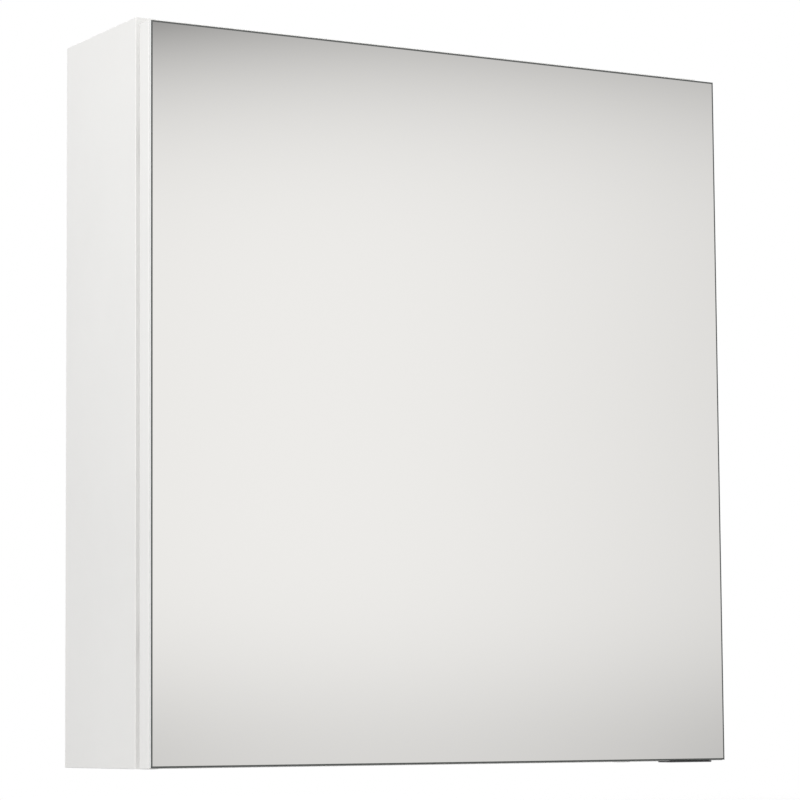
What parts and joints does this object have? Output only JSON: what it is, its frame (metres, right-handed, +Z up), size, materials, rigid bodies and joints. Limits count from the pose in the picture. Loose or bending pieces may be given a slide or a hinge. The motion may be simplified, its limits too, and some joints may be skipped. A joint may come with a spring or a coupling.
{
  "type": "bathroom mirror cabinet",
  "caption": "White wall-hung bathroom cabinet with a full mirror door on concealed cup hinges, loose glass shelves and height-adjustable hangers.",
  "frame": {"origin": "middle of the wall-screw holes, on the wall plane", "axes": "+X to the right seen from the front, +Y into the wall, +Z up; the mirror faces -Y"},
  "size_m": [0.5, 0.15, 0.5524],
  "materials": {
    "white_board": "white melamine facing on particle board, satin",
    "white_edging": "white plastic edging, satin",
    "hardboard": "thin hardboard, lacquered white inside, raw brown behind",
    "beech": "bare beech with pressed flutes",
    "zinc_casting": "bare die-cast zinc",
    "white_plastic": "moulded white plastic",
    "zinc_steel": "bright zinc plating",
    "nickel_steel": "nickel plating",
    "shelf_glass": "clear float glass, ground edges",
    "mirror_glass": "silvered glass with a ground arris",
    "adhesive": "mirror adhesive film",
    "pull_metal": "dark grey anodised",
    "buffer": "soft translucent plastic"
  },
  "bodies": {
    "wall_hangers": {"left_wall_plate": "zinc_steel", "right_wall_plate": "zinc_steel", "left_hanger_hook": "zinc_steel", "right_hanger_hook": "zinc_steel"},
    "carcass": {"left_side_panel": "white_board", "right_side_panel": "white_board", "top_panel": "white_board", "bottom_panel": "white_board", "carcass_edging": "white_edging", "back_panel": "hardboard", "dowels": "beech", "cam_locks": "zinc_casting", "cam_caps": "white_plastic", "left_hanger_housing": "white_plastic", "right_hanger_housing": "white_plastic", "cam_bolts": "zinc_steel", "hanger_screws": "zinc_steel", "hinge_plate_screws": "zinc_steel", "hinge_arm_screws": "zinc_steel", "shelf_pins": "zinc_steel", "upper_hinge_plate": "nickel_steel", "lower_hinge_plate": "nickel_steel", "upper_hinge_arm": "nickel_steel", "lower_hinge_arm": "nickel_steel", "lower_shelf": "shelf_glass", "upper_shelf": "shelf_glass", "door_buffers": "buffer"},
    "door": {"door_board": "white_board", "door_edging": "white_edging", "mirror_adhesive": "adhesive", "mirror_glass": "mirror_glass", "finger_pull": "pull_metal", "finger_pull_screws": "zinc_steel", "upper_hinge_cup": "nickel_steel", "lower_hinge_cup": "nickel_steel", "hinge_cup_screws": "zinc_steel", "hinge_pins": "zinc_steel", "hinge_springs": "zinc_steel"}
  },
  "joints": [
    {"name": "cabinet_height", "type": "slide", "parent": "wall_hangers", "child": "carcass", "axis": [0, 0, 1], "range_m": [-0.004, 0.004]},
    {"name": "door_swing", "type": "hinge", "parent": "carcass", "child": "door", "pos_m": [-0.24, -0.1385, -0.192], "axis": [0, 0, -1], "range_deg": [0, 105]}
  ]
}
